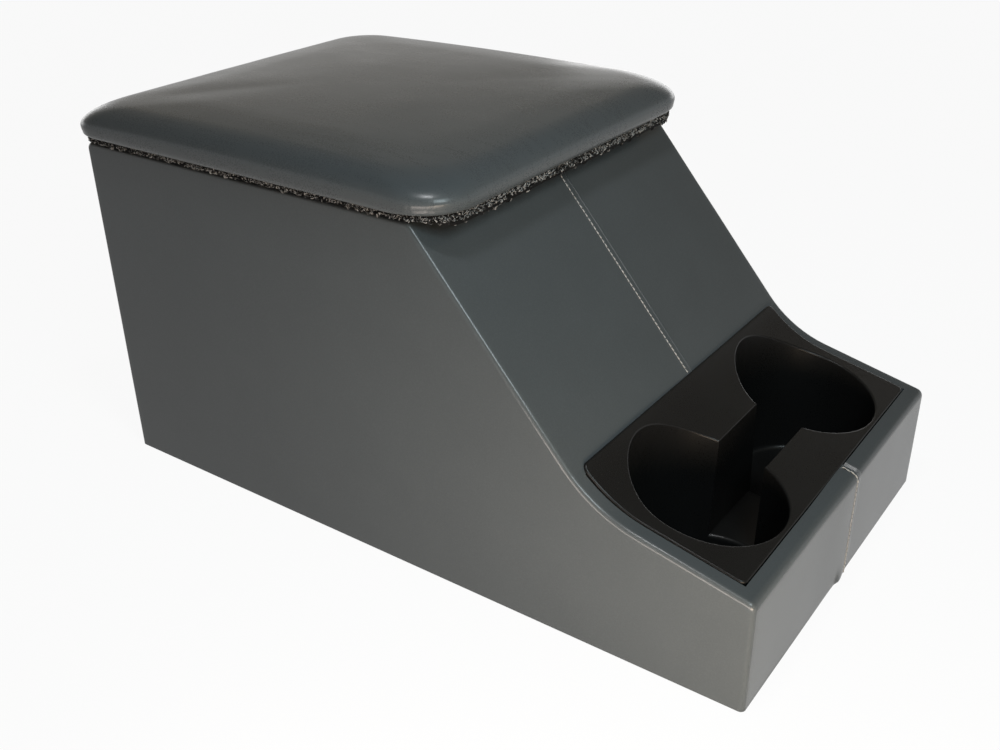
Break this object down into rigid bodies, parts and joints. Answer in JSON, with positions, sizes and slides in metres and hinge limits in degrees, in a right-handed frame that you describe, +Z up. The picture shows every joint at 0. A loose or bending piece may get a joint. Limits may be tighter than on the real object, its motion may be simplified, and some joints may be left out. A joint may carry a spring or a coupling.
{
  "type": "car centre armrest console",
  "caption": "Vinyl-covered console box for between car seats, with a padded hinged armrest lid over a carpeted bin and a moulded cup tray set in a sloping recess.",
  "frame": {"origin": "under the middle of the object's bounding box, on the surface that it stands on", "axes": "+Z up, the front with the cup tray faces -Y, the lid's hinge is at +Y, and +X is to the right of someone who faces the front"},
  "size_m": [0.2774, 0.482, 0.2565],
  "materials": {
    "vinyl": "grained grey vinyl",
    "tray_plastic": "satin black moulding with a fine texture",
    "lid_carpet": "black looped carpet",
    "bin_carpet": "black lining carpet",
    "board": "raw fibreboard",
    "batten": "raw softwood",
    "foam": "open-cell foam",
    "hinge_steel": "plated strip",
    "screw_steel": "yellow plated"
  },
  "bodies": {
    "box": {"base_board": "board", "carcass_screws": "screw_steel", "cup_tray": "tray_plastic", "floor_carpet": "bin_carpet", "front_board": "board", "front_carpet": "bin_carpet", "hinge_body_leaf": "hinge_steel", "hinge_body_screws": "screw_steel", "hinge_pin": "hinge_steel", "left_carpet": "bin_carpet", "left_cover": "vinyl", "left_side_board": "board", "left_tray_cleat": "batten", "partition_board": "board", "rear_board": "board", "rear_carpet": "bin_carpet", "right_carpet": "bin_carpet", "right_cover": "vinyl", "right_side_board": "board", "right_tray_cleat": "batten", "slope_board": "board"},
    "lid": {"lid_board": "board", "lid_foam": "foam", "lid_cover": "vinyl", "lid_carpet": "lid_carpet", "hinge_lid_leaf": "hinge_steel", "hinge_lid_screws": "screw_steel"}
  },
  "joints": [
    {"name": "lid_hinge", "type": "hinge", "parent": "box", "child": "lid", "pos_m": [0, 0.237, 0.2292], "axis": [-1, 0, 0], "range_deg": [0, 120]}
  ]
}
